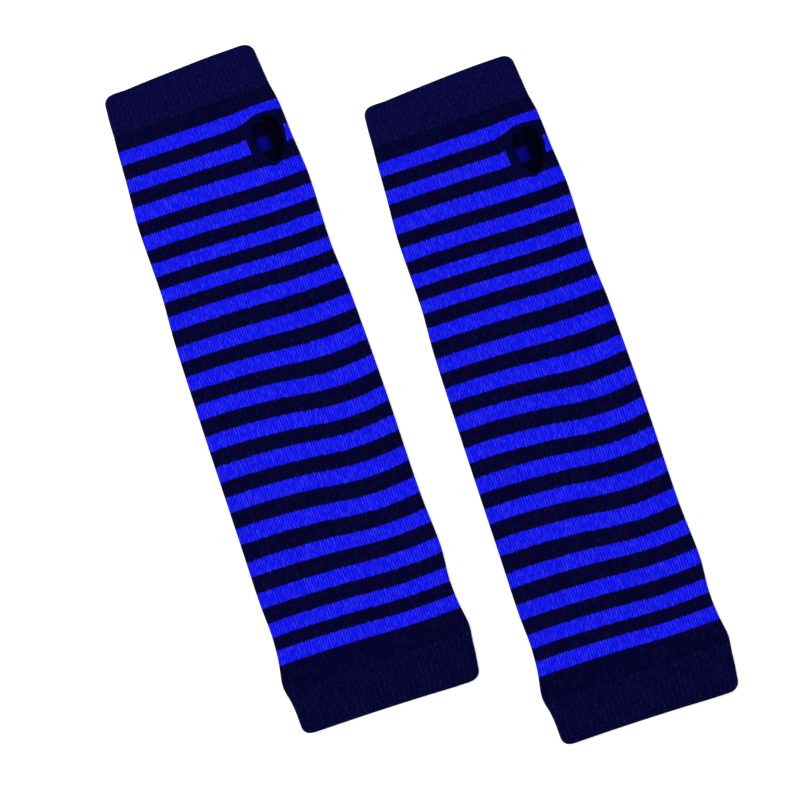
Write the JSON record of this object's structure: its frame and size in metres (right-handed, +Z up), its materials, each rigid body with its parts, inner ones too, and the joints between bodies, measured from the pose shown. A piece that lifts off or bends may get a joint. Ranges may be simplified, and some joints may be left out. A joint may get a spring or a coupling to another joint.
{
  "type": "pair of knitted arm warmers",
  "caption": "Pair of striped knitted arm warmers laid flat side by side: open tubes with ribbed double cuffs and a bound thumb hole near one side.",
  "frame": {"origin": "on the surface the pair lies on, under the middle of the pair's bounding box", "axes": "+Y along the warmers towards their hand ends, +X across them towards the thumb holes' side, +Z up from the surface"},
  "size_m": [0.211, 0.3698, 0.0052],
  "materials": {
    "cuff_knit": "matte ribbed knit, dark navy",
    "striped_knit": "matte plain knit, royal blue and dark navy stripes",
    "binding_yarn": "matte overlocked yarn, dark navy"
  },
  "bodies": {
    "root": {"left_hand_cuff": "cuff_knit", "left_tube": "striped_knit", "left_thumb_binding": "binding_yarn", "left_arm_cuff": "cuff_knit", "right_hand_cuff": "cuff_knit", "right_tube": "striped_knit", "right_thumb_binding": "binding_yarn", "right_arm_cuff": "cuff_knit"}
  },
  "joints": []
}
